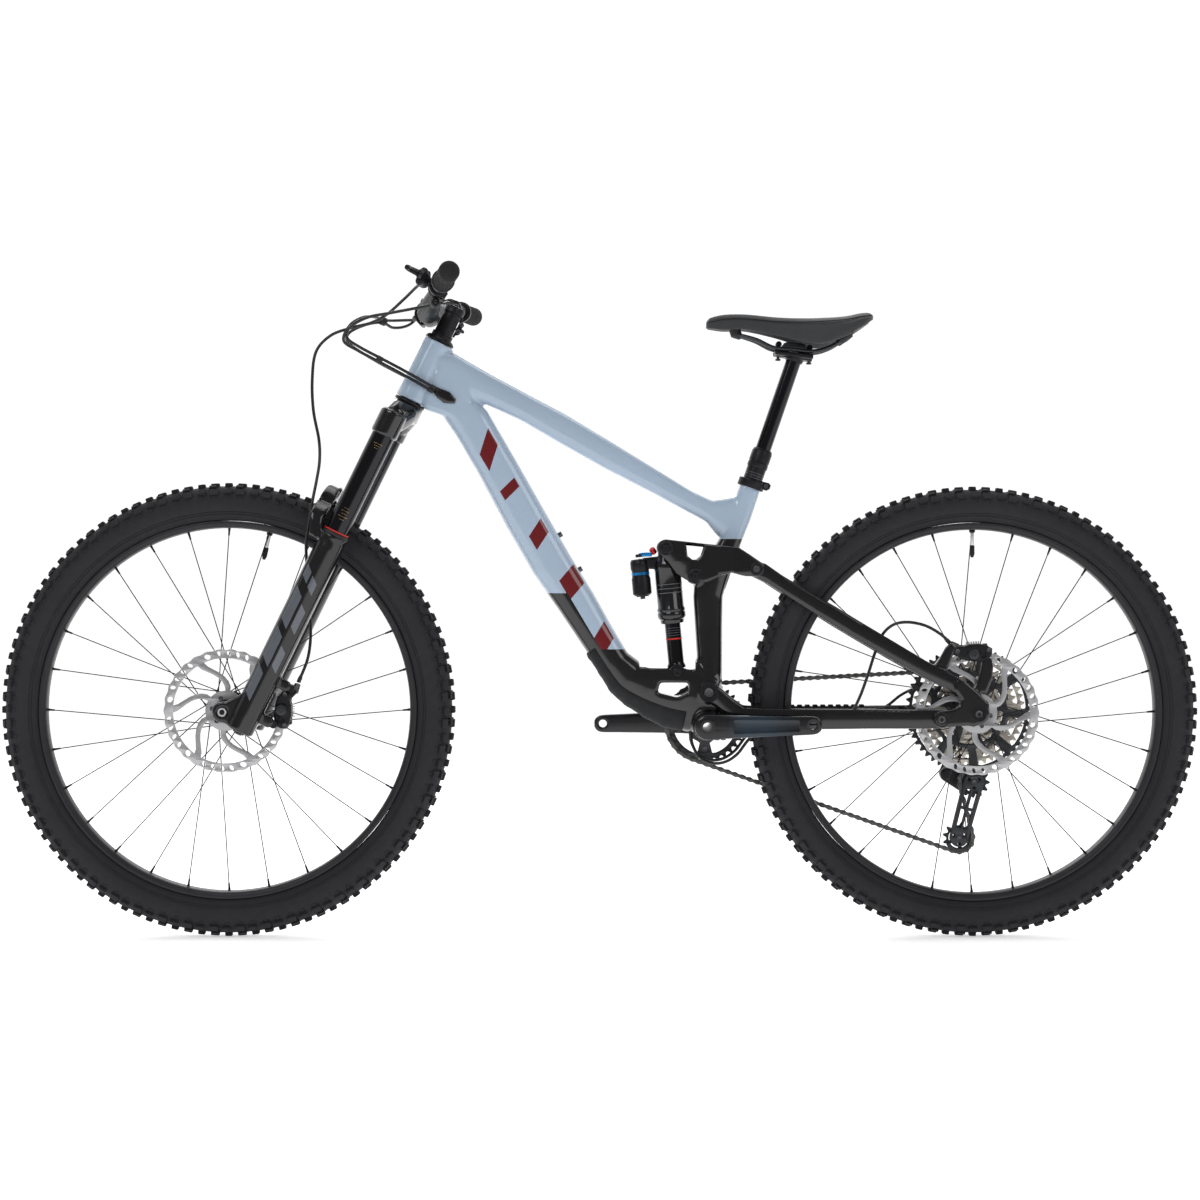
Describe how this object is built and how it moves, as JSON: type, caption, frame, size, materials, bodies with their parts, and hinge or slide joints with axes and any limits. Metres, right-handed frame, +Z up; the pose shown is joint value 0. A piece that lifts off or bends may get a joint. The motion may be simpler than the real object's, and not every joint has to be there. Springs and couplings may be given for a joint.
{
  "type": "mountain bike",
  "caption": "Full-suspension mountain bike: four-bar rear linkage with air shock, telescopic fork, dropper seat post, disc brakes, wide-range chain drive and spoked wheels with knobbed tyres.",
  "frame": {"origin": "on the ground under the middle of the bike, in its middle plane", "axes": "+X to the rear of the bike, +Y to its right (chain) side, +Z up"},
  "size_m": [1.9708, 0.7884, 1.0775],
  "materials": {
    "frame_paint": "gloss light blue-grey over black, dark red slanted bars",
    "guard_rubber": "ribbed moulded guard, matt",
    "black_anodised": "black anodised, satin",
    "black_gloss": "gloss black paint over carbon or magnesium",
    "black_plastic": "moulded, fine grain",
    "bar_carbon": "satin black carbon",
    "grip_rubber": "waffle pattern, matt",
    "tyre_rubber": "knobbed tread, matt side walls",
    "rim_black": "satin black",
    "spoke_steel": "black drawn steel",
    "rotor_steel": "ground steel, slotted",
    "caliper_black": "black anodised, satin",
    "cassette_steel": "nickel-plated steel",
    "chain_steel": "dark plated steel",
    "crank_finish": "dark blue-grey panel on black",
    "stanchion_black": "hard black coat, mirror smooth",
    "shaft_steel": "polished shaft",
    "shock_black": "black anodised with blue and red rings",
    "blue_anodised": "blue anodised",
    "saddle_cover": "dark grey synthetic cover",
    "hose_black": "black hose"
  },
  "bodies": {
    "frame": {"front_triangle": "frame_paint", "downtube_guard": "guard_rubber", "bottom_bracket": "black_anodised", "seat_collar": "black_anodised", "dropper_outer": "black_anodised", "main_pivot_axle": "black_anodised", "chain": "chain_steel", "rear_brake_hose": "hose_black", "shift_housing_rear": "hose_black"},
    "steering": {"fork_crown_unit": "stanchion_black", "headset_spacers": "black_anodised", "stem": "black_anodised", "handlebar": "bar_carbon", "grip_left": "grip_rubber", "grip_right": "grip_rubber", "brake_body_left": "black_anodised", "brake_body_right": "black_anodised", "shifter_body": "black_plastic", "dropper_remote_body": "black_plastic", "front_brake_hose": "hose_black", "cable_bundle": "hose_black"},
    "brake_lever_left": {"brake_lever_left": "black_anodised"},
    "brake_lever_right": {"brake_lever_right": "black_anodised"},
    "shift_paddle": {"shift_paddle": "black_plastic"},
    "dropper_paddle": {"dropper_paddle": "black_plastic"},
    "fork_lowers": {"fork_lowers": "black_gloss", "front_axle": "black_anodised", "front_caliper": "caliper_black"},
    "front_wheel": {"front_tyre": "tyre_rubber", "front_rim": "rim_black", "front_spokes_left": "spoke_steel", "front_spokes_right": "spoke_steel", "front_hub": "black_anodised", "front_rotor": "rotor_steel"},
    "seatpost_upper": {"dropper_stanchion": "stanchion_black", "saddle_rails": "spoke_steel", "saddle": "saddle_cover"},
    "chainstay": {"chainstay": "black_gloss"},
    "seatstay": {"seatstay_left": "black_gloss", "seatstay_right": "black_gloss", "rear_axle": "black_anodised", "rear_caliper": "caliper_black"},
    "rocker": {"rocker": "black_gloss"},
    "shock_shaft": {"shock_shaft": "shaft_steel"},
    "shock_body": {"shock_body": "shock_black"},
    "shock_lever": {"shock_lever": "blue_anodised"},
    "rear_wheel": {"rear_tyre": "tyre_rubber", "rear_rim": "rim_black", "rear_spokes_left": "spoke_steel", "rear_spokes_right": "spoke_steel", "rear_hub": "black_anodised", "rear_rotor": "rotor_steel"},
    "cassette": {"cassette": "cassette_steel"},
    "crank": {"crank_left": "crank_finish", "crank_right": "crank_finish", "chainring": "chain_steel"},
    "derailleur_body": {"derailleur_body": "black_anodised"},
    "derailleur_cage": {"derailleur_cage": "black_anodised"},
    "pulley_upper": {"pulley_upper": "black_plastic"},
    "pulley_lower": {"pulley_lower": "black_plastic"}
  },
  "joints": [
    {"name": "steering_turn", "type": "hinge", "parent": "frame", "child": "steering", "pos_m": [-0.312, 0, 0.8833], "axis": [0.4384, 0, 0.8988], "range_deg": [-75, 75], "deforming": ["cable_bundle"]},
    {"name": "fork_travel", "type": "slide", "parent": "steering", "child": "fork_lowers", "axis": [0.4384, 0, 0.8988], "range_m": [0, 0.165], "stiffness_N_per_m": 5000, "springref_m": -0.02, "deforming": ["front_brake_hose"]},
    {"name": "front_wheel_spin", "type": "hinge", "parent": "fork_lowers", "child": "front_wheel", "pos_m": [-0.6114, 0, 0.374], "axis": [0, 1, 0], "continuous": true},
    {"name": "brake_left_pull", "type": "hinge", "parent": "steering", "child": "brake_lever_left", "pos_m": [-0.2809, -0.226, 1.0685], "axis": [0.4384, 0, 0.8988], "range_deg": [0, 14], "stiffness_Nm_per_rad": 1.5, "springref_deg": -5.73},
    {"name": "brake_right_pull", "type": "hinge", "parent": "steering", "child": "brake_lever_right", "pos_m": [-0.2809, 0.226, 1.0685], "axis": [-0.4384, 0, -0.8988], "range_deg": [0, 14], "stiffness_Nm_per_rad": 1.5, "springref_deg": -5.73},
    {"name": "shift_paddle_push", "type": "hinge", "parent": "steering", "child": "shift_paddle", "pos_m": [-0.2615, 0.183, 1.0284], "axis": [0, 1, 0], "range_deg": [0, 15], "stiffness_Nm_per_rad": 0.5, "springref_deg": -11.46},
    {"name": "dropper_paddle_push", "type": "hinge", "parent": "steering", "child": "dropper_paddle", "pos_m": [-0.2595, -0.178, 1.0293], "axis": [0, 1, 0], "range_deg": [0, 18], "stiffness_Nm_per_rad": 0.5, "springref_deg": -11.46},
    {"name": "seatpost_drop", "type": "slide", "parent": "frame", "child": "seatpost_upper", "axis": [0.3253, 0, 0.9456], "range_m": [-0.15, 0]},
    {"name": "chainstay_swing", "type": "hinge", "parent": "frame", "child": "chainstay", "pos_m": [0.1785, 0, 0.404], "axis": [0, -1, 0], "range_deg": [0, 22.5], "stiffness_Nm_per_rad": 500, "springref_deg": -2.86, "deforming": ["chain", "rear_brake_hose", "shift_housing_rear"]},
    {"name": "seatstay_pivot", "type": "hinge", "parent": "chainstay", "child": "seatstay", "pos_m": [0.554, 0, 0.3622], "axis": [0, -1, 0], "range_deg": [-10.7, 0], "deforming": ["chain", "rear_brake_hose", "shift_housing_rear"]},
    {"name": "rocker_turn", "type": "hinge", "parent": "frame", "child": "rocker", "pos_m": [0.1564, 0, 0.5949], "axis": [0, -1, 0], "range_deg": [0, 59], "deforming": ["chain", "rear_brake_hose", "shift_housing_rear"]},
    {"name": "shock_swing", "type": "hinge", "parent": "frame", "child": "shock_shaft", "pos_m": [0.1275, 0, 0.4365], "axis": [0, -1, 0], "range_deg": [0, 9], "deforming": ["chain", "rear_brake_hose", "shift_housing_rear"]},
    {"name": "shock_stroke", "type": "slide", "parent": "shock_shaft", "child": "shock_body", "axis": [0.0933, 0, -0.9956], "range_m": [0, 0.06], "deforming": ["chain", "rear_brake_hose", "shift_housing_rear"]},
    {"name": "shock_lever_turn", "type": "hinge", "parent": "shock_body", "child": "shock_lever", "pos_m": [0.065, -0.009, 0.6244], "axis": [-0.0933, 0, 0.9956], "range_deg": [0, 75]},
    {"name": "rear_wheel_spin", "type": "hinge", "parent": "seatstay", "child": "rear_wheel", "pos_m": [0.6144, 0, 0.371], "axis": [0, 1, 0], "continuous": true},
    {"name": "crank_spin", "type": "hinge", "parent": "frame", "child": "crank", "pos_m": [0.1752, 0, 0.349], "axis": [0, 1, 0], "continuous": true},
    {"name": "cassette_spin", "type": "hinge", "parent": "seatstay", "child": "cassette", "pos_m": [0.6144, 0, 0.371], "axis": [0, 1, 0], "continuous": true},
    {"name": "pulley_upper_spin", "type": "hinge", "parent": "derailleur_cage", "child": "pulley_upper", "pos_m": [0.6238, 0, 0.2505], "axis": [0, 1, 0], "continuous": true},
    {"name": "pulley_lower_spin", "type": "hinge", "parent": "derailleur_cage", "child": "pulley_lower", "pos_m": [0.5988, 0, 0.157], "axis": [0, 1, 0], "continuous": true},
    {"name": "derailleur_hang", "type": "hinge", "parent": "seatstay", "child": "derailleur_body", "pos_m": [0.624, 0, 0.338], "axis": [0, -1, 0], "range_deg": [-6, 12], "stiffness_Nm_per_rad": 8, "deforming": ["chain", "shift_housing_rear"]},
    {"name": "derailleur_cage_swing", "type": "hinge", "parent": "derailleur_body", "child": "derailleur_cage", "pos_m": [0.606, 0, 0.25], "axis": [0, -1, 0], "range_deg": [-35, 30], "stiffness_Nm_per_rad": 3, "deforming": ["chain", "shift_housing_rear"]}
  ],
  "couplings": [
    {"joint": "seatstay_pivot", "follows": "chainstay_swing", "ratio": -0.46501},
    {"joint": "rocker_turn", "follows": "chainstay_swing", "ratio": 2.5893},
    {"joint": "shock_swing", "follows": "chainstay_swing", "ratio": 0.38036},
    {"joint": "shock_stroke", "follows": "chainstay_swing", "m_per_rad": 0.15024},
    {"joint": "cassette_spin", "follows": "crank_spin", "ratio": 0.9697},
    {"joint": "pulley_upper_spin", "follows": "crank_spin", "ratio": -2.6958},
    {"joint": "pulley_lower_spin", "follows": "crank_spin", "ratio": 2.6958}
  ]
}
